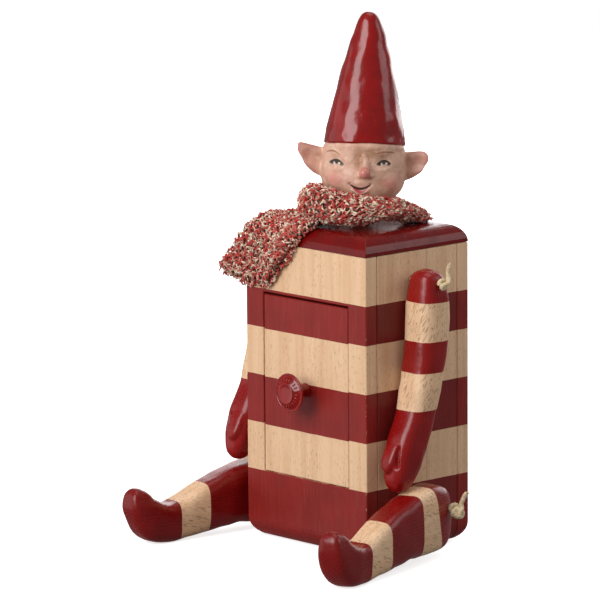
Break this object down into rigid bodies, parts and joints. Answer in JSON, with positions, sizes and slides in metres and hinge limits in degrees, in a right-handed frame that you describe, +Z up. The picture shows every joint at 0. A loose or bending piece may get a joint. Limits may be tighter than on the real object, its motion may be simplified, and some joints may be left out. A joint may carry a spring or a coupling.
{
  "type": "pixie drawer box",
  "caption": "Seated pixie toy: a striped wooden box with a front drawer, a turning head in a tall hat, a knitted scarf and corded swinging arms and legs.",
  "frame": {"origin": "middle of the box's flat base, on the surface the toy sits on", "axes": "+Z up through the head; the drawer opens towards -Y; the figure's own left side is +X"},
  "size_m": [0.1652, 0.1362, 0.2762],
  "materials": {
    "striped_wood": "bands of matt dark red paint and bare beech, vertical grain",
    "painted_top": "satin dark red paint over wood",
    "bare_beech": "bare sanded beech",
    "gloss_red_wood": "gloss dark red paint",
    "striped_limb": "bands of gloss dark red paint and bare beech",
    "painted_face": "hand-painted satin skin with rosy cheeks",
    "gloss_red_hat": "thick gloss dark red paint, slightly uneven",
    "knitted_scarf": "chunky red and cream marled knit",
    "cotton_cord": "natural twisted cotton",
    "screw_steel": "plain steel"
  },
  "bodies": {
    "box": {"front_panel": "striped_wood", "back_panel": "striped_wood", "side_panel_left": "striped_wood", "side_panel_right": "striped_wood", "top_board": "painted_top", "base_board": "bare_beech", "drawer_shelf": "bare_beech", "drawer_ceiling": "bare_beech", "drawer_guide_left": "bare_beech", "drawer_guide_right": "bare_beech", "neck_peg": "bare_beech", "scarf": "knitted_scarf", "shoulder_cord": "cotton_cord", "hip_cord": "cotton_cord"},
    "drawer": {"drawer_front": "striped_wood", "drawer_side_left": "bare_beech", "drawer_side_right": "bare_beech", "drawer_back": "bare_beech", "drawer_bottom": "bare_beech", "drawer_knob": "gloss_red_wood", "knob_screw": "screw_steel"},
    "head_and_hat": {"head": "painted_face", "hat": "gloss_red_hat"},
    "left_arm": {"arm_left": "striped_limb"},
    "right_arm": {"arm_right": "striped_limb"},
    "left_leg": {"leg_left": "striped_limb"},
    "right_leg": {"leg_right": "striped_limb"}
  },
  "joints": [
    {"name": "drawer_slide", "type": "slide", "parent": "box", "child": "drawer", "axis": [0, -1, 0], "range_m": [0, 0.05]},
    {"name": "head_turn", "type": "hinge", "parent": "box", "child": "head_and_hat", "pos_m": [0.0016, 0.0018, 0.167], "axis": [0.0308, 0.0333, 0.999], "continuous": true},
    {"name": "left_shoulder", "type": "hinge", "parent": "box", "child": "left_arm", "pos_m": [0.0562, -0.0045, 0.143], "axis": [-1, 0, 0], "range_deg": [0, 170]},
    {"name": "right_shoulder", "type": "hinge", "parent": "box", "child": "right_arm", "pos_m": [-0.0562, -0.0045, 0.143], "axis": [-1, 0, 0], "range_deg": [0, 48]},
    {"name": "left_hip", "type": "hinge", "parent": "box", "child": "left_leg", "pos_m": [0.0566, 0.0035, 0.0245], "axis": [1, 0, 0], "range_deg": [0, 85]},
    {"name": "right_hip", "type": "hinge", "parent": "box", "child": "right_leg", "pos_m": [-0.0566, 0.0035, 0.0245], "axis": [1, 0, 0], "range_deg": [0, 85]}
  ]
}
